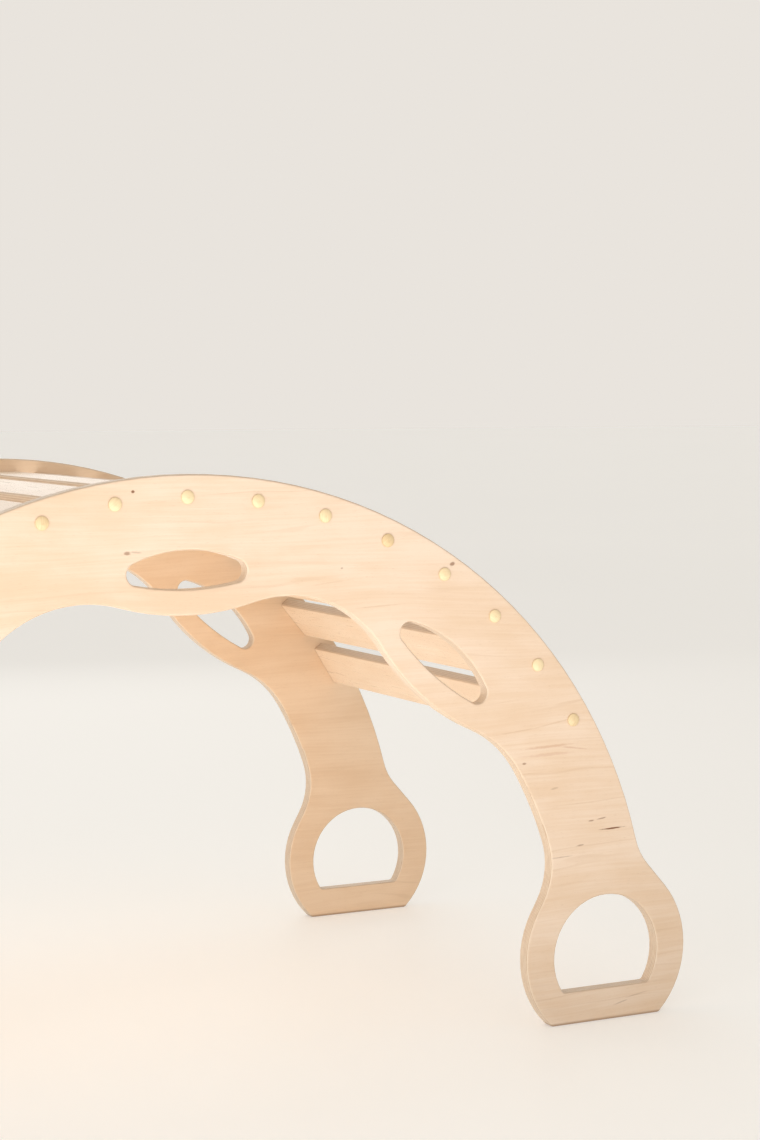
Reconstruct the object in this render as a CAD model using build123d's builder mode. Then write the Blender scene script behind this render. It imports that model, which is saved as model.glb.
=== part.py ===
from build123d import *
import math
import os

# Children's plywood rocker: a low climbing arch when it stands on its feet and a
# seesaw when it is turned over onto its round back. Two arched side panels carry
# fifteen flat slats. Millimetres. Origin on the floor under the middle of the
# arch, +X along the arch, +Y across it, +Z up.

os.makedirs("parts", exist_ok=True)

# --- overall --------------------------------------------------------------
WIDTH = 680.0              # over the outer faces of the two panels
PLY = 18.0                 # panel thickness
ARC_Z = 64.0               # height of the arch's centre above the floor
OUTER_R = 600.0            # round back of the panel
EDGE_R = 2.5               # rounding of every panel edge

# --- foot -------------------------------------------------------------------
FOOT_X = 539.4             # centre of the round foot
FOOT_Z = 82.0
FOOT_R = 111.4
FOOT_CORNER_R = 6.0        # where the round foot meets the flat it stands on
OUT_SLOPE = 41.6           # straight shoulder outside the foot, degrees from vertical
OUT_NECK_R = 74.0          # hollow between the round back and that shoulder
IN_SLOPE = 29.2            # straight shoulder inside the foot
IN_NECK_R = 87.5           # hollow between the leg and that shoulder

# --- inner wavy edge ----------------------------------------------------------
LEG_R = 483.6              # inner edge of the leg, about the arch's centre
BUMP_R = 280.8             # round of each of the three downward swells
VALLEY_R = 143.2           # hollow between two swells
LEG_VALLEY_R = 127.2       # hollow between the last swell and the leg
SWELL_REACH = 446.6        # nearest the swells come to the arch's centre
SWELL_PITCH = 40.4         # degrees from one swell to the next

# --- holes in the panels -----------------------------------------------------
GRIP_R = 72.3              # D-shaped grip hole
GRIP_X = 538.8
GRIP_Z = 80.0
GRIP_FLOOR = 39.3          # its flat lower edge, above the floor
GRIP_CORNER_R = 6.0
SLOT_PITCH = 39.9          # oval hand slot in each swell
SLOT_TOP = 517.9           # its upper and lower edges, about the arch's centre
SLOT_BOTTOM = 475.1
SLOT_TOP_R = 155.0
SLOT_BOTTOM_R = 305.0
SLOT_END_R = 12.4

# --- slats ------------------------------------------------------------------
SLATS = 15
SLAT_PITCH = 8.33          # degrees
SLAT_MID_R = 575.3         # mid thickness, about the arch's centre
SLAT_THICK = 15.0
SLAT_WIDE = 60.0
SLAT_EDGE_R = 2.5

# --- fixings ------------------------------------------------------------------
BORE_R = 6.25              # bore for screw head and cap
BORE_DEEP = 9.0
HEAD_TALL = 3.5
SHANK_R = 2.5
SHANK_IN_SLAT = 46.0
CAP_R = 7.6
CAP_RIM = 1.2              # straight rim of the cap before it domes
CAP_TALL = 3.6
DOWEL_R = 4.0
DOWEL_OFF = 18.0           # either side of the screw
DOWEL_IN_PANEL = 12.0
DOWEL_IN_SLAT = 28.0

HALF = WIDTH / 2
INNER_Y = HALF - PLY
SLAT_LONG = 2 * INNER_Y
CENTRE = Vector(0, ARC_Z)
FOOT = Vector(FOOT_X, FOOT_Z)
SLAT_ANGLES = [SLAT_PITCH * (i - SLATS // 2) for i in range(SLATS)]


def ray(radius, degrees):
    """Point at a radius from the arch's centre, degrees from straight up."""
    a = math.radians(degrees)
    return CENTRE + Vector(radius * math.sin(a), radius * math.cos(a))


def unit(v):
    return v * (1.0 / v.length)


def two_circles(a, ra, b, rb, side):
    """Where circle a meets circle b; side picks left (+1) or right (-1) of a to b."""
    d = b - a
    along = (ra * ra - rb * rb + d.length ** 2) / (2 * d.length)
    off = math.sqrt(ra * ra - along * along)
    e = unit(d)
    return a + e * along + Vector(-e.Y, e.X) * (side * off)


def line_roller(start, direction, normal, roll, reach):
    """Centre of a circle rolling along a line, where it first has that reach from CENTRE."""
    base = start + normal * roll - CENTRE
    b = base.dot(direction)
    c = base.dot(base) - reach * reach
    root = math.sqrt(b * b - c)
    step = -b - root if c > 0 else -b + root
    return CENTRE + base + direction * step


def arc(start, end, centre, radius):
    """The shorter arc between two points of a circle."""
    mid = centre + unit((start + end) * 0.5 - centre) * radius
    return ThreePointArc(start, mid, end)


# Hollow of the neck outside the foot, and the straight shoulder under it.
a_out = math.radians(OUT_SLOPE)
out_n = Vector(math.cos(a_out), math.sin(a_out))
out_d = Vector(-math.sin(a_out), math.cos(a_out))
out_foot = FOOT + out_n * FOOT_R
out_c = line_roller(out_foot, out_d, out_n, OUT_NECK_R, OUTER_R + OUT_NECK_R)
out_low = out_c - out_n * OUT_NECK_R
out_top = CENTRE + unit(out_c - CENTRE) * OUTER_R

# Hollow of the neck inside the foot.
a_in = math.radians(IN_SLOPE)
in_n = Vector(-math.cos(a_in), math.sin(a_in))
in_d = Vector(math.sin(a_in), math.cos(a_in))
in_foot = FOOT + in_n * FOOT_R
in_c = line_roller(in_foot, in_d, in_n, IN_NECK_R, LEG_R - IN_NECK_R)
in_low = in_c - in_n * IN_NECK_R
in_top = CENTRE + unit(in_c - CENTRE) * LEG_R

# Chain of touching circles along the wavy inner edge.
swell_c = ray(SWELL_REACH + BUMP_R, 0)
swell2_c = ray(SWELL_REACH + BUMP_R, SWELL_PITCH)
valley_c = two_circles(swell_c, BUMP_R + VALLEY_R, swell2_c, BUMP_R + VALLEY_R, -1)
leg_valley_c = two_circles(CENTRE, LEG_R - LEG_VALLEY_R, swell2_c, BUMP_R + LEG_VALLEY_R, -1)
t_swell = swell_c + unit(valley_c - swell_c) * BUMP_R
t_valley = swell2_c + unit(valley_c - swell2_c) * BUMP_R
t_swell2 = swell2_c + unit(leg_valley_c - swell2_c) * BUMP_R
t_leg = CENTRE + unit(leg_valley_c - CENTRE) * LEG_R

half_flat = math.sqrt(FOOT_R ** 2 - FOOT_Z ** 2)
toe = Vector(FOOT_X + half_flat, 0)
heel = Vector(FOOT_X - half_flat, 0)
apex = Vector(0, ARC_Z + OUTER_R)
middle = Vector(0, ARC_Z + SWELL_REACH)

with BuildSketch() as panel_sketch:
    with BuildLine() as half_outline:
        arc(apex, out_top, CENTRE, OUTER_R)
        arc(out_top, out_low, out_c, OUT_NECK_R)
        Line(out_low, out_foot)
        arc(out_foot, toe, FOOT, FOOT_R)
        Line(toe, heel)
        ThreePointArc(heel, FOOT + Vector(-FOOT_R, 0), in_foot)
        Line(in_foot, in_low)
        arc(in_low, in_top, in_c, IN_NECK_R)
        arc(in_top, t_leg, CENTRE, LEG_R)
        arc(t_leg, t_swell2, leg_valley_c, LEG_VALLEY_R)
        arc(t_swell2, t_valley, swell2_c, BUMP_R)
        arc(t_valley, t_swell, valley_c, VALLEY_R)
        arc(t_swell, middle, swell_c, BUMP_R)
        Line(middle, apex)
    make_face()
    corners = panel_sketch.vertices().filter_by(
        lambda v: abs(v.Y) < 0.01
    )
    fillet(corners, FOOT_CORNER_R)
    mirror(about=Plane.YZ)

# D-shaped grip hole.
grip_low = GRIP_FLOOR - GRIP_Z
with BuildSketch() as grip_sketch:
    Circle(GRIP_R)
    with Locations((0, grip_low - GRIP_R)):
        Rectangle(4 * GRIP_R, 2 * GRIP_R, mode=Mode.SUBTRACT)
    fillet(grip_sketch.vertices(), GRIP_CORNER_R)

# Hand slot: two shallow arcs joined by round ends, drawn about its own middle.
SLOT_MID = (SLOT_TOP + SLOT_BOTTOM) / 2
slot_tall = SLOT_TOP - SLOT_BOTTOM
top_c = Vector(0, slot_tall / 2 - SLOT_TOP_R)
low_c = Vector(0, -slot_tall / 2 + SLOT_BOTTOM_R)
end_c = two_circles(top_c, SLOT_TOP_R - SLOT_END_R, low_c, SLOT_BOTTOM_R - SLOT_END_R, -1)
e_top = top_c + unit(end_c - top_c) * SLOT_TOP_R
e_low = low_c + unit(end_c - low_c) * SLOT_BOTTOM_R
e_tip = end_c + Vector(SLOT_END_R, 0)
with BuildSketch() as slot_sketch:
    with BuildLine() as slot_half:
        arc(Vector(0, slot_tall / 2), e_top, top_c, SLOT_TOP_R)
        ThreePointArc(e_top, e_tip, e_low)
        arc(e_low, Vector(0, -slot_tall / 2), low_c, SLOT_BOTTOM_R)
        Line(Vector(0, -slot_tall / 2), Vector(0, slot_tall / 2))
    make_face()
    mirror(about=Plane.YZ)


def out_of(side):
    """Unit step along Y pointing out of the panel on this side."""
    return Vector(0, side, 0)


def spot(angle, radius, y):
    """Point of the arch in space."""
    p = ray(radius, angle)
    return Vector(p.X, y, p.Y)


def bore_plane(angle, side, y, across=0.0):
    """Plane at a fixing, z pointing out of the panel; across runs along the slat's width."""
    a = math.radians(angle)
    along = Vector(math.cos(a), 0, -math.sin(a))
    return Plane(
        origin=spot(angle, SLAT_MID_R, y) + along * across,
        x_dir=along,
        z_dir=out_of(side),
    )


def make_panel(side):
    """One arched side panel; side -1 is the front one."""
    face = Plane(origin=(0, side * INNER_Y, 0), x_dir=(-side, 0, 0), z_dir=(0, side, 0))
    with BuildPart() as panel:
        with BuildSketch(face):
            add(panel_sketch.sketch)
            with Locations((GRIP_X, GRIP_Z), (-GRIP_X, GRIP_Z)):
                add(grip_sketch.sketch, mode=Mode.SUBTRACT)
            for turn in (-SLOT_PITCH, 0.0, SLOT_PITCH):
                mid = ray(SLOT_MID, turn)
                with Locations(Location((mid.X, mid.Y, 0), (0, 0, -turn))):
                    add(slot_sketch.sketch, mode=Mode.SUBTRACT)
        extrude(amount=PLY)
        rims = panel.faces().filter_by(Axis.Y).edges()
        fillet(rims, EDGE_R)
        for angle in SLAT_ANGLES:
            with BuildSketch(bore_plane(angle, side, side * (HALF - BORE_DEEP))):
                Circle(BORE_R)
            extrude(amount=BORE_DEEP, mode=Mode.SUBTRACT)
            with BuildSketch(bore_plane(angle, side, side * INNER_Y)):
                Circle(SHANK_R)
            extrude(amount=PLY, mode=Mode.SUBTRACT)
            for across in (-DOWEL_OFF, DOWEL_OFF):
                with BuildSketch(bore_plane(angle, side, side * INNER_Y, across)):
                    Circle(DOWEL_R)
                extrude(amount=DOWEL_IN_PANEL, mode=Mode.SUBTRACT)
    return panel


def make_slat(angle):
    """One flat slat, its ends against the inner faces of the panels."""
    with BuildPart() as slat:
        with BuildSketch(bore_plane(angle, 1, -INNER_Y)):
            Rectangle(SLAT_WIDE, SLAT_THICK)
        extrude(amount=SLAT_LONG)
        fillet(slat.edges().filter_by(Axis.Y), SLAT_EDGE_R)
        for side in (-1, 1):
            with BuildSketch(bore_plane(angle, -side, side * INNER_Y)):
                Circle(SHANK_R)
            extrude(amount=SHANK_IN_SLAT, mode=Mode.SUBTRACT)
            for across in (-DOWEL_OFF, DOWEL_OFF):
                with BuildSketch(bore_plane(angle, -side, side * INNER_Y, across)):
                    Circle(DOWEL_R)
                extrude(amount=DOWEL_IN_SLAT, mode=Mode.SUBTRACT)
    return slat


def make_screws(side):
    """The fifteen screws of one panel."""
    with BuildPart() as screws:
        for angle in SLAT_ANGLES:
            seat = side * (HALF - BORE_DEEP)
            with BuildSketch(bore_plane(angle, side, seat)):
                Circle(BORE_R)
            extrude(amount=HEAD_TALL)
            with BuildSketch(bore_plane(angle, -side, seat)):
                Circle(SHANK_R)
            extrude(amount=PLY - BORE_DEEP + SHANK_IN_SLAT)
    return screws


def make_caps(side):
    """The fifteen domed wooden caps of one panel."""
    plug = BORE_DEEP - HEAD_TALL
    dome = CAP_TALL - CAP_RIM
    dome_r = (CAP_R ** 2 + dome ** 2) / (2 * dome)
    with BuildPart() as cap:
        with BuildSketch(Plane.XZ):
            with BuildLine():
                Polyline((0, -plug), (BORE_R, -plug), (BORE_R, 0), (CAP_R, 0), (CAP_R, CAP_RIM))
                RadiusArc((CAP_R, CAP_RIM), (0, CAP_TALL), -dome_r)
                Line((0, CAP_TALL), (0, -plug))
            make_face()
        revolve(axis=Axis.Z)
    with BuildPart() as caps:
        for angle in SLAT_ANGLES:
            add(bore_plane(angle, side, side * HALF).location * cap.part)
    return caps


def make_dowels(side):
    """The thirty dowels between one panel and the slats."""
    with BuildPart() as dowels:
        for angle in SLAT_ANGLES:
            for across in (-DOWEL_OFF, DOWEL_OFF):
                base = side * (INNER_Y - DOWEL_IN_SLAT)
                with BuildSketch(bore_plane(angle, side, base, across)):
                    Circle(DOWEL_R)
                extrude(amount=DOWEL_IN_SLAT + DOWEL_IN_PANEL)
    return dowels


for side_name, side in (("front", -1), ("rear", 1)):
    side_panel = make_panel(side)
    side_panel.part.label = side_name + "_side_panel"
    export_step(side_panel.part, "parts/" + side_name + "_side_panel.step")
    screws = make_screws(side)
    screws.part.label = side_name + "_screws"
    export_step(screws.part, "parts/" + side_name + "_screws.step")
    caps = make_caps(side)
    caps.part.label = side_name + "_caps"
    export_step(caps.part, "parts/" + side_name + "_caps.step")
    dowels = make_dowels(side)
    dowels.part.label = side_name + "_dowels"
    export_step(dowels.part, "parts/" + side_name + "_dowels.step")

for number, angle in enumerate(SLAT_ANGLES, 1):
    slat = make_slat(angle)
    slat.part.label = "slat_%02d" % number
    export_step(slat.part, "parts/slat_%02d.step" % number)
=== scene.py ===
# Looks and studio for the children's plywood rocker. Every visible piece is a CAD
# node with a material of its own. Metres, in the CAD's frame.
import math

import bpy
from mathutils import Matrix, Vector

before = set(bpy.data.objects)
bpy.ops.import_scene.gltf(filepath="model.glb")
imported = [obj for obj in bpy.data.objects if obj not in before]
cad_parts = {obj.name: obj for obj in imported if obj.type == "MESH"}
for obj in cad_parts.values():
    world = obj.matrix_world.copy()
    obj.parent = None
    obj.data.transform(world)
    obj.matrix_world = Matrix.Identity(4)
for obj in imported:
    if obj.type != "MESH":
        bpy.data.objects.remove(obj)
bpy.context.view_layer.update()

# --- sizes the materials need, as in the CAD ------------------------------------
HALF_WIDTH = 0.340          # outer faces of the panels
PANEL_PLY = 0.018
PANEL_VENEERS = 13
ARC_CENTRE = Vector((0.0, 0.0, 0.064))
SLAT_COUNT = 15
SLAT_PITCH = 8.33           # degrees
SLAT_MID_R = 0.5753
SLAT_PLY = 0.015
SLAT_VENEERS = 11
SLAT_END = HALF_WIDTH - PANEL_PLY
CAP_RADIUS = 0.0076
CAP_RIM_FROM = 0.0067

# --- camera ---------------------------------------------------------------------
LENS_MM = 74.733
CAMERA_AT = (-0.97975, -2.7040, 0.75288)
YAW = 27.164                # degrees, turned from +Y towards +X
PITCH = 4.314               # degrees, looking down

cam_data = bpy.data.cameras.new("camera")
cam_data.lens = LENS_MM
cam_data.sensor_width = 36.0
cam_data.sensor_fit = "AUTO"
cam = bpy.data.objects.new("camera", cam_data)
bpy.context.scene.collection.objects.link(cam)
cam.location = CAMERA_AT
cam.rotation_mode = "XYZ"
cam.rotation_euler = (math.radians(90.0 - PITCH), 0.0, math.radians(-YAW))
bpy.context.scene.camera = cam
bpy.context.scene.view_settings.view_transform = "Standard"


# --- node building ------------------------------------------------------------
class Nodes:
    """Adds nodes to one tree; every method returns an output socket."""

    def __init__(self, tree):
        self.tree = tree

    def put(self, socket, value):
        if isinstance(value, bpy.types.NodeSocket):
            self.tree.links.new(value, socket)
        else:
            socket.default_value = value

    def math(self, operation, a, b=0.0, clamp=False):
        node = self.tree.nodes.new("ShaderNodeMath")
        node.operation = operation
        node.use_clamp = clamp
        for socket, value in zip(node.inputs, (a, b)):
            self.put(socket, value)
        return node.outputs[0]

    def add(self, a, b):
        return self.math("ADD", a, b)

    def mul(self, a, b):
        return self.math("MULTIPLY", a, b)

    def dot(self, vector, direction):
        node = self.tree.nodes.new("ShaderNodeVectorMath")
        node.operation = "DOT_PRODUCT"
        self.put(node.inputs[0], vector)
        node.inputs[1].default_value = direction
        return node.outputs["Value"]

    def xyz(self, x, y, z):
        node = self.tree.nodes.new("ShaderNodeCombineXYZ")
        for socket, value in zip(node.inputs, (x, y, z)):
            self.put(socket, value)
        return node.outputs[0]

    def split(self, vector):
        node = self.tree.nodes.new("ShaderNodeSeparateXYZ")
        self.put(node.inputs[0], vector)
        return node.outputs[0], node.outputs[1], node.outputs[2]

    def noise(self, vector, scale=1.0, detail=2.0, roughness=0.5, distortion=0.0):
        node = self.tree.nodes.new("ShaderNodeTexNoise")
        self.put(node.inputs["Vector"], vector)
        node.inputs["Scale"].default_value = scale
        node.inputs["Detail"].default_value = detail
        node.inputs["Roughness"].default_value = roughness
        node.inputs["Distortion"].default_value = distortion
        return node.outputs[0]

    def grain(self, along, across, scale, seed, **options):
        """Noise stretched along the grain. scale: features per metre, along and across."""
        spot = self.xyz(self.mul(along, scale[0]), self.mul(across, scale[1]), seed)
        return self.noise(spot, **options)

    def step(self, value, low, high, to_low=0.0, to_high=1.0):
        """Smooth step: to_low below low, to_high above high."""
        node = self.tree.nodes.new("ShaderNodeMapRange")
        node.interpolation_type = "SMOOTHSTEP"
        for name, number in (
            ("Value", value),
            ("From Min", low),
            ("From Max", high),
            ("To Min", to_low),
            ("To Max", to_high),
        ):
            self.put(node.inputs[name], number)
        return node.outputs[0]

    def mix(self, factor, a, b, blend="MIX"):
        node = self.tree.nodes.new("ShaderNodeMix")
        node.data_type = "RGBA"
        node.blend_type = blend
        self.put(node.inputs[0], factor)
        self.put(node.inputs[6], a)
        self.put(node.inputs[7], b)
        return node.outputs[2]

    def place(self):
        """Metres in the CAD's frame, because a node's object sits at the origin."""
        return self.tree.nodes.new("ShaderNodeTexCoord").outputs["Object"]

    def normal(self):
        return self.tree.nodes.new("ShaderNodeTexCoord").outputs["Normal"]

    def bump(self, height, strength, distance):
        node = self.tree.nodes.new("ShaderNodeBump")
        self.put(node.inputs["Height"], height)
        node.inputs["Strength"].default_value = strength
        node.inputs["Distance"].default_value = distance
        return node.outputs[0]


def new_material(name, specular=0.35):
    material = bpy.data.materials.new(name)
    material.use_nodes = True
    shader = material.node_tree.nodes["Principled BSDF"]
    shader.inputs["Specular IOR Level"].default_value = specular
    return material, Nodes(material.node_tree), shader


# --- birch plywood: colours -----------------------------------------------------
# Each pair of tones is the pale and the tan wood of a face veneer.
PANEL_TONES = {
    "front": ((0.80, 0.645, 0.51, 1.0), (0.73, 0.545, 0.385, 1.0)),
    "rear": ((0.82, 0.62, 0.44, 1.0), (0.75, 0.535, 0.355, 1.0)),
}
SLAT_TONES = ((0.85, 0.69, 0.53, 1.0), (0.78, 0.595, 0.425, 1.0))
BIRCH_LINE = (0.60, 0.405, 0.25, 1.0)
PORE = (0.47, 0.30, 0.17, 1.0)
EDGE_LONG = (0.79, 0.67, 0.53, 1.0)     # a ply cut along its grain
EDGE_END = (0.58, 0.42, 0.29, 1.0)      # a ply cut across its grain
# glue lines between plies; also the colour of the painted shade at the feet and at the slats' ends
GLUE_AND_SHADE = (0.34, 0.20, 0.11, 1.0)
KNOT = (0.21, 0.09, 0.04, 1.0)
RED_STREAK = (0.55, 0.31, 0.19, 1.0)

# --- birch plywood: figure, in features per metre along and across the grain ------
WANDER = (1.5, 5.0)         # slow bend of the whole figure
WANDER_REACH = 0.06         # metres it bends sideways
BROAD = (1.8, 16.0)         # wide pale and tan areas
CLOUD = (14.0, 30.0)        # soft blotches
STREAK = (10.0, 300.0)      # fine streaks
LINE_GATE = (4.0, 40.0)     # where growth lines show at all
FLECK = (150.0, 2300.0)     # pores
RINGS_PER_METRE = 62.0      # growth lines across the grain
RING_WARP = 5.0             # growth lines that a wide area pushes aside
PANEL_LINES = 0.28          # strength of the growth lines
SLAT_LINES = 0.3
PORE_STRENGTH = 0.28
PLY_MOTTLE = (60.0, 3.7)    # along the cut edge, and from ply to ply
PLY_FIBRE = (900.0, 6.0)
PLY_VOIDS = (38.0, 9.1)
MARK_RIM = (160.0, 420.0)   # ragged rim of a knot, along X and Z
INNER_SHIFT = 3.0           # metres along the veneer from a panel's outer to its inner face

# --- birch plywood: finish --------------------------------------------------------
FACE_FROM, FACE_FULL = 0.72, 0.97       # part of the normal that makes a surface a face
PANEL_ROUGH = (0.34, 0.42)              # on the cut edges, on the faces
SLAT_ROUGH = (0.5, 0.24)
ROUGH_SPREAD = 0.16
PANEL_BUMP = 0.35
SLAT_BUMP = 0.16
BUMP_HEIGHT = 0.0004
SLAT_EDGE_TAN_AND_SHADE = 0.25                    # the slats' cut edges are this much browner: partly a browner ply colour, partly painted shade of the edges between the slats
FOOT_SHADE_TOP = 0.0045                  # painted contact shadow round the feet, at the floor
FOOT_SHADE_FULL = 0.0008
FOOT_SHADE_STRENGTH = 0.8
JOINT_SHADE_FROM = 0.0022                     # painted shade at a slat's ends, in the crease against the panel
JOINT_SHADE_FULL = 0.0004
JOINT_SHADE_STRENGTH = 0.6
PANEL_SEEDS = {"front": -5.0, "rear": 13.0}
SLAT_SEED = 20.0
SLAT_SEED_STEP = 3.7


def veneer(n, along, across, seed, line_strength, pale, tan):
    """Rotary-cut birch face: colour and height. along and across are metres."""
    wander = n.grain(along, across, WANDER, seed, detail=2.0)
    bent = n.add(across, n.mul(n.add(wander, -0.5), WANDER_REACH))
    broad = n.grain(along, bent, BROAD, seed + 3.1, detail=3.0)
    cloud = n.grain(along, bent, CLOUD, seed + 5.2, detail=2.0)
    streak = n.grain(along, bent, STREAK, seed + 7.7, detail=4.0, roughness=0.6)
    rings = n.add(n.mul(bent, RINGS_PER_METRE), n.mul(broad, RING_WARP))
    ring = n.math("SINE", n.mul(rings, 2.0 * math.pi))
    gate = n.step(n.grain(along, bent, LINE_GATE, seed + 11.3), 0.45, 0.7)
    line = n.mul(n.step(ring, 0.86, 1.0), n.mul(gate, line_strength))
    fleck = n.grain(along, bent, FLECK, seed + 1.3, detail=1.0)
    pores = n.mul(n.step(fleck, 0.66, 0.76), PORE_STRENGTH)
    tone = n.add(n.mul(broad, 0.9), n.add(n.mul(cloud, 0.5), n.mul(streak, 0.6)))
    colour = n.mix(n.step(tone, 0.72, 1.28), pale, tan)
    colour = n.mix(line, colour, BIRCH_LINE)
    colour = n.mix(pores, colour, PORE)
    height = n.add(n.mul(streak, 0.6), n.mul(pores, -1.2))
    return colour, height


def plies(n, depth, thickness, count, end_share, run, seed):
    """Cut edge of a board: plies with glue lines between them, and a few small voids.

    end_share is how far the surface cuts across the grain of every other ply.
    """
    level = n.mul(depth, count / thickness)
    index = n.math("FLOOR", level)
    inside = n.math("FRACT", level)
    odd = n.math("MODULO", index, 2.0)
    even = n.math("SUBTRACT", 1.0, odd)
    turned = n.add(n.mul(odd, end_share), n.mul(even, n.math("SUBTRACT", 1.0, end_share)))
    mottle = n.grain(run, index, PLY_MOTTLE, seed, detail=3.0)
    fibre = n.grain(run, level, PLY_FIBRE, seed + 2.0, detail=2.0)
    share = n.math("ADD", n.mul(turned, 0.75), n.mul(n.add(mottle, -0.5), 1.3), clamp=True)
    colour = n.mix(share, EDGE_LONG, EDGE_END)
    colour = n.mix(n.mul(n.step(fibre, 0.45, 0.75), 0.22), colour, PORE)
    seam = n.math("ABSOLUTE", n.add(inside, -0.5))
    glue = n.mul(n.step(seam, 0.40, 0.49), 0.42)
    colour = n.mix(glue, colour, GLUE_AND_SHADE)
    gap = n.grain(run, index, PLY_VOIDS, seed + 6.0, detail=1.0)
    void = n.mul(n.mul(odd, n.step(gap, 0.79, 0.82)), n.step(seam, 0.42, 0.3))
    colour = n.mix(void, colour, KNOT)
    height = n.add(n.mul(fibre, 0.5), n.mul(n.add(glue, void), -1.0))
    return colour, height


def mark(n, colour, x, z, spot, paint):
    """One knot, pin hole or streak in the face veneer: an ellipse with a soft ragged rim."""
    at_x, at_z, long, tall, tilt, strength = spot
    c = math.cos(math.radians(tilt))
    s = math.sin(math.radians(tilt))
    dx = n.add(x, -at_x)
    dz = n.add(z, -at_z)
    u = n.add(n.mul(dx, c / long), n.mul(dz, s / long))
    v = n.add(n.mul(dx, -s / tall), n.mul(dz, c / tall))
    away = n.math("SQRT", n.add(n.mul(u, u), n.mul(v, v)))
    ragged = n.grain(x, z, MARK_RIM, at_x * 40.0, detail=2.0)
    away = n.add(away, n.mul(n.add(ragged, -0.5), 0.9))
    return n.mix(n.mul(n.step(away, 1.0, 0.35), strength), colour, paint)


# Each mark: x, z, half length, half height in metres, tilt in degrees, strength.
# Most of the x and z values are the output of a scratch program, which carried points picked
# in the photo through the fitted camera onto the panel's face. They were not set by hand.
FRONT_KNOTS = [
    (-0.0627, 0.6464, 0.0026, 0.0022, 0.0, 0.95),
    (-0.0701, 0.5804, 0.0055, 0.0026, 0.0, 0.62),
    (-0.0600, 0.5812, 0.0090, 0.0014, -4.0, 0.30),
    (0.1855, 0.5560, 0.0022, 0.0016, 0.0, 0.45),
    (0.3262, 0.5562, 0.0046, 0.0030, 20.0, 0.72),
    (0.4231, 0.3185, 0.0034, 0.0017, 0.0, 0.60),
    (0.4650, 0.2863, 0.0080, 0.0016, 8.0, 0.26),
    (0.5445, 0.2320, 0.0230, 0.0012, 1.5, 1.00),
    (0.5470, 0.2319, 0.0120, 0.0014, 1.5, 0.60),
    (0.5165, 0.2436, 0.0060, 0.0011, 4.0, 0.60),
    (0.5300, 0.2452, 0.0090, 0.0011, 7.0, 0.58),
    (0.5001, 0.2152, 0.0070, 0.0013, 6.0, 0.50),
    (0.4740, 0.2032, 0.0180, 0.0011, 2.0, 0.32),
    (0.5600, 0.0190, 0.0140, 0.0011, 13.0, 0.30),
    (0.5830, 0.0260, 0.0200, 0.0010, 9.0, 0.24),
]
FRONT_LINES = [
    (0.4115, 0.3570, 0.0400, 0.0012, 5.4, 0.42),
    (0.4640, 0.3640, 0.0400, 0.0012, 9.5, 0.36),
    (0.2320, 0.5116, 0.0420, 0.0011, 2.5, 0.42),
    (0.1706, 0.5404, 0.0300, 0.0011, 6.0, 0.25),
    (0.1583, 0.5185, 0.0350, 0.0010, 4.0, 0.25),
    (0.3240, 0.5719, 0.0120, 0.0014, 20.0, 0.30),
]
FRONT_REDS = [
    (0.4560, 0.3366, 0.0430, 0.0020, 2.0, 0.42),
    (0.4560, 0.3272, 0.0430, 0.0026, 1.0, 0.30),
    (0.4900, 0.3330, 0.0260, 0.0014, -8.0, 0.42),
]


MARKS = ((FRONT_LINES, BIRCH_LINE), (FRONT_REDS, RED_STREAK), (FRONT_KNOTS, KNOT))


def surface(n, shader, facing, height, edge_height, rough, strength):
    """Relief and gloss of a board. facing is 1 on its faces and 0 on its cut edges."""
    edging = n.mul(n.math("SUBTRACT", 1.0, facing), edge_height)
    relief = n.add(n.mul(facing, height), edging)
    n.put(shader.inputs["Normal"], n.bump(relief, strength, BUMP_HEIGHT))
    gloss = n.step(facing, 0.0, 1.0, *rough)
    n.put(shader.inputs["Roughness"], n.add(gloss, n.mul(height, ROUGH_SPREAD)))


def panel_material(name, side, seed, tones):
    """Plywood panel: grain along X on the faces, plies on every edge."""
    material, n, shader = new_material(name)
    x, y, z = n.split(n.place())
    nx, ny = n.split(n.normal())[:2]
    depth = n.math("SUBTRACT", HALF_WIDTH, n.mul(y, side))
    inner = n.math("GREATER_THAN", depth, PANEL_PLY / 2)
    along = n.add(x, n.mul(inner, INNER_SHIFT))
    colour, height = veneer(n, along, z, seed, PANEL_LINES, *tones)
    if side < 0:
        bare = colour
        for spots, paint in MARKS:
            for spot in spots:
                colour = mark(n, colour, x, z, spot, paint)
        colour = n.mix(inner, colour, bare)
    end_share = n.step(n.math("ABSOLUTE", nx), 0.15, 0.85)
    run = n.add(x, z)
    edge, edge_height = plies(n, depth, PANEL_PLY, PANEL_VENEERS, end_share, run, seed)
    facing = n.step(n.math("ABSOLUTE", ny), FACE_FROM, FACE_FULL)
    wood = n.mix(facing, edge, colour)
    # painted contact shadow: the feet are darker just above the floor
    foot_contact_shade = n.mul(n.step(z, FOOT_SHADE_TOP, FOOT_SHADE_FULL), FOOT_SHADE_STRENGTH)
    n.put(shader.inputs["Base Color"], n.mix(foot_contact_shade, wood, GLUE_AND_SHADE))
    surface(n, shader, facing, height, edge_height, PANEL_ROUGH, PANEL_BUMP)
    return material


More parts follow.
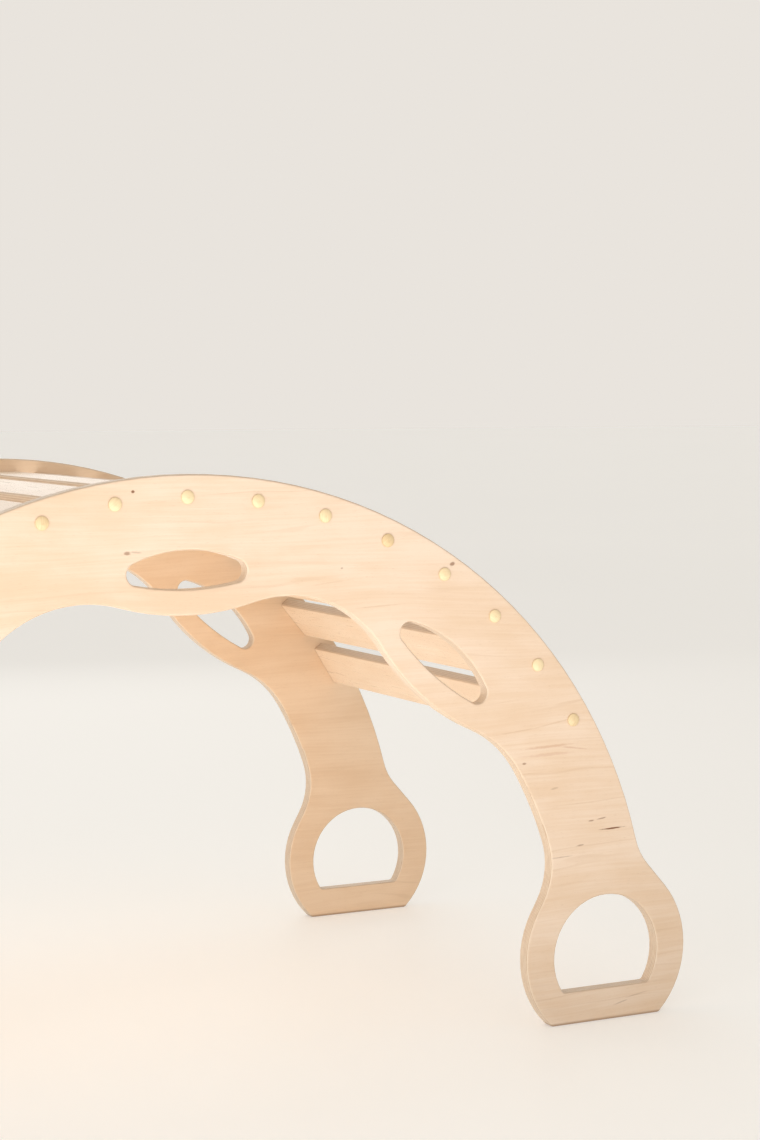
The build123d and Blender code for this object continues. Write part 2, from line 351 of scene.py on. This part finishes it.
def slat_material(name, degrees, seed):
    """Plywood slat: grain along Y, plies on its two long edges."""
    material, n, shader = new_material(name, specular=0.5)
    place = n.place()
    a = math.radians(degrees)
    wide = Vector((math.cos(a), 0.0, -math.sin(a)))
    out = Vector((math.sin(a), 0.0, math.cos(a)))
    across = n.add(n.dot(place, wide), -ARC_CENTRE.dot(wide))
    radial = n.add(n.dot(place, out), -ARC_CENTRE.dot(out))
    along = n.split(place)[1]
    colour, height = veneer(n, along, across, seed, SLAT_LINES, *SLAT_TONES)
    depth = n.add(radial, -(SLAT_MID_R - SLAT_PLY / 2))
    edge, edge_height = plies(n, depth, SLAT_PLY, SLAT_VENEERS, 0.0, along, seed + 0.7)
    facing = n.step(n.math("ABSOLUTE", n.dot(n.normal(), out)), FACE_FROM, FACE_FULL)
    # browner slat edges: partly ply colour, partly painted shade where the slats shade each other's
    # edges
    edge = n.mix(SLAT_EDGE_TAN_AND_SHADE, edge, EDGE_END)
    wood = n.mix(facing, edge, colour)
    # painted shade on the slat next to each panel
    off_middle = n.math("ABSOLUTE", along)
    joint_shade = n.step(off_middle, SLAT_END - JOINT_SHADE_FROM, SLAT_END - JOINT_SHADE_FULL)
    joint_shade = n.mul(joint_shade, JOINT_SHADE_STRENGTH)
    n.put(shader.inputs["Base Color"], n.mix(joint_shade, wood, GLUE_AND_SHADE))
    surface(n, shader, facing, height, edge_height, SLAT_ROUGH, SLAT_BUMP)
    return material


# --- fixings ----------------------------------------------------------------------
CAP_PALE = (0.86, 0.70, 0.44, 1.0)
CAP_TAN = (0.70, 0.51, 0.28, 1.0)
CAP_SHADE = (0.45, 0.29, 0.14, 1.0)
CAP_TURN = 2.4              # radians the grain turns from one cap to the next
CAP_GRAIN = (90.0, 1500.0)
BEECH_PALE = (0.74, 0.56, 0.38, 1.0)
BEECH_TAN = (0.60, 0.42, 0.26, 1.0)
ZINC_PALE = (0.66, 0.66, 0.67, 1.0)
ZINC_DARK = (0.52, 0.52, 0.55, 1.0)


def cap_material(name, side):
    """Turned hardwood caps, each with its own tone and grain direction."""
    material, n, shader = new_material(name, specular=0.45)
    x, y, z = n.split(n.place())
    high = n.add(z, -ARC_CENTRE.z)
    turn = n.math("ARCTAN2", x, high)
    which = n.math("ROUND", n.mul(turn, 180.0 / math.pi / SLAT_PITCH))
    centre = n.mul(which, math.radians(SLAT_PITCH))
    u = n.add(x, n.mul(n.math("SINE", centre), -SLAT_MID_R))
    v = n.add(high, n.mul(n.math("COSINE", centre), -SLAT_MID_R))
    grain_turn = n.mul(which, CAP_TURN)
    c = n.math("COSINE", grain_turn)
    s = n.math("SINE", grain_turn)
    along = n.add(n.mul(u, c), n.mul(v, s))
    across = n.add(n.mul(v, c), n.mul(n.mul(u, s), -1.0))
    grain = n.grain(along, across, CAP_GRAIN, n.mul(which, 5.3), detail=3.0)
    tone = n.noise(n.xyz(n.mul(which, 7.1), 0.4, side * 3.0), detail=0.0)
    share = n.add(n.mul(grain, 0.7), n.mul(n.add(tone, -0.5), 0.9))
    colour = n.mix(n.step(share, 0.1, 0.7), CAP_PALE, CAP_TAN)
    away = n.math("SQRT", n.add(n.mul(u, u), n.mul(v, v)))
    # painted shade round each cap's rim, where it meets the panel
    rim = n.step(away, CAP_RIM_FROM, CAP_RADIUS)
    colour = n.mix(n.mul(rim, 0.35), colour, CAP_SHADE)
    n.put(shader.inputs["Base Color"], colour)
    n.put(shader.inputs["Normal"], n.bump(grain, 0.25, 0.0002))
    n.put(shader.inputs["Roughness"], n.add(0.34, n.mul(grain, 0.14)))
    return material


def dowel_material(name):
    """Raw beech rod: grain along Y with short dark rays."""
    material, n, shader = new_material(name)
    x, y, z = n.split(n.place())
    grain = n.noise(n.xyz(n.mul(x, 900.0), n.mul(y, 30.0), n.mul(z, 900.0)), detail=3.0)
    rays = n.noise(n.xyz(n.mul(x, 1800.0), n.mul(y, 260.0), n.mul(z, 1800.0)), detail=1.0)
    colour = n.mix(n.step(grain, 0.35, 0.7), BEECH_PALE, BEECH_TAN)
    colour = n.mix(n.mul(n.step(rays, 0.66, 0.72), 0.5), colour, PORE)
    n.put(shader.inputs["Base Color"], colour)
    n.put(shader.inputs["Normal"], n.bump(grain, 0.4, 0.0003))
    n.put(shader.inputs["Roughness"], n.add(0.55, n.mul(grain, 0.2)))
    return material


def screw_material(name):
    """Zinc-plated steel with fine turning lines and cloudy plating."""
    material, n, shader = new_material(name, specular=0.5)
    shader.inputs["Metallic"].default_value = 1.0
    place = n.place()
    x, y, z = n.split(place)
    cloud = n.noise(place, 240.0, 3.0)
    turning = n.noise(n.xyz(n.mul(x, 60.0), n.mul(y, 5200.0), n.mul(z, 60.0)), detail=1.0)
    colour = n.mix(n.step(cloud, 0.3, 0.7), ZINC_PALE, ZINC_DARK)
    n.put(shader.inputs["Base Color"], colour)
    n.put(shader.inputs["Normal"], n.bump(turning, 0.3, 0.0001))
    n.put(shader.inputs["Roughness"], n.add(0.26, n.mul(cloud, 0.2)))
    return material


def dress(node, material):
    """Puts a material on every slot of a CAD node."""
    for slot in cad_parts[node].material_slots:
        slot.material = material


for side_name, side in (("front", -1), ("rear", 1)):
    birch = panel_material(
        side_name + "_panel_birch", side, PANEL_SEEDS[side_name], PANEL_TONES[side_name]
    )
    dress(side_name + "_side_panel", birch)
    dress(side_name + "_caps", cap_material(side_name + "_cap_wood", side))
    dress(side_name + "_dowels", dowel_material(side_name + "_dowel_beech"))
    dress(side_name + "_screws", screw_material(side_name + "_screw_zinc"))
for number in range(SLAT_COUNT):
    degrees = SLAT_PITCH * (number - SLAT_COUNT // 2)
    slat_name = "slat_%02d" % (number + 1)
    slat_seed = SLAT_SEED + SLAT_SEED_STEP * number
    dress(slat_name, slat_material(slat_name + "_birch", degrees, slat_seed))

# --- floor --------------------------------------------------------------------------
FLOOR_REACH = 40.0
FLOOR_DULL = (0.70, 0.695, 0.67, 1.0)
FLOOR_PALE = (0.74, 0.735, 0.71, 1.0)
FLOOR_GLOW = (1.0, 0.98, 0.95, 1.0)
FLOOR_GLOW_STRENGTH = 0.32      # keeps the floor as pale as the backdrop behind it

floor_mesh = bpy.data.meshes.new("floor")
signs = [(-1, -1), (1, -1), (1, 1), (-1, 1)]
corners = [(FLOOR_REACH * a, FLOOR_REACH * b, 0.0) for a, b in signs]
floor_mesh.from_pydata(corners, [], [(0, 1, 2, 3)])
floor = bpy.data.objects.new("floor", floor_mesh)
bpy.context.scene.collection.objects.link(floor)
floor_mat, n, shader = new_material("pale_floor", specular=0.2)
patchy = n.noise(n.place(), 0.6, 2.0)
n.put(shader.inputs["Base Color"], n.mix(patchy, FLOOR_DULL, FLOOR_PALE))
shader.inputs["Roughness"].default_value = 0.6
shader.inputs["Emission Color"].default_value = FLOOR_GLOW
shader.inputs["Emission Strength"].default_value = FLOOR_GLOW_STRENGTH
floor_mesh.materials.append(floor_mat)

# --- backdrop: a pale room, dimmer overhead and on the front panel's side -------------
HORIZON = (0.815, 0.775, 0.725, 1.0)
NEAR_WALL = (0.58, 0.54, 0.49, 1.0)
OVERHEAD = (0.60, 0.57, 0.53, 1.0)
WALL_TOP = 0.18                 # height on the unit sky at which the walls end
OVERHEAD_FULL = 0.75

world = bpy.data.worlds.new("studio")
world.use_nodes = True
n = Nodes(world.node_tree)
back = world.node_tree.nodes["Background"]
sky = world.node_tree.nodes.new("ShaderNodeTexCoord").outputs["Generated"]
sky_y, up = n.split(sky)[1:]
near_wall = n.mix(n.step(up, 0.0, WALL_TOP), HORIZON, NEAR_WALL)
walls = n.mix(n.step(sky_y, -0.75, 0.10), near_wall, HORIZON)
room = n.mix(n.step(up, WALL_TOP, OVERHEAD_FULL), walls, OVERHEAD)
n.put(back.inputs["Color"], room)
back.inputs["Strength"].default_value = 1.0
bpy.context.scene.world = world

# --- lights: soft, and hidden from the camera -------------------------------------------
# Name, place, aim, width, height, watts, colour. The two low ones face straight up.
LIGHTS = [
    ("window", (-2.6, -2.8, 1.05), (-0.1, 0.0, 0.40), 2.2, 1.5, 44.0, (1.0, 0.98, 0.97)),
    ("floor_bounce", (-0.45, -1.50, 0.015), (-0.45, -1.50, 1.0), 2.2, 1.6, 21.5, (1.0, 0.96, 0.92)),
    ("under_arch", (-0.25, 0.0, 0.015), (-0.25, 0.0, 1.0), 0.7, 0.4, 2.3, (1.0, 0.95, 0.88)),
    ("ceiling", (0.0, 0.6, 2.2), (0.0, 0.0, 0.5), 1.6, 1.2, 4.5, (1.0, 0.98, 0.95)),
    ("rear_glow", (0.9, 3.4, 1.3), (-0.05, 0.2, 0.64), 3.0, 0.9, 8.0, (1.0, 0.98, 0.96)),
]


def area_light(name, at, aim, width, height, watts, colour):
    data = bpy.data.lights.new(name, "AREA")
    data.shape = "RECTANGLE"
    data.size = width
    data.size_y = height
    data.energy = watts
    data.color = colour
    lamp = bpy.data.objects.new(name, data)
    lamp.location = at
    lamp.rotation_euler = (Vector(aim) - Vector(at)).to_track_quat("-Z", "Y").to_euler()
    lamp.visible_camera = False
    bpy.context.scene.collection.objects.link(lamp)


for light in LIGHTS:
    area_light(*light)
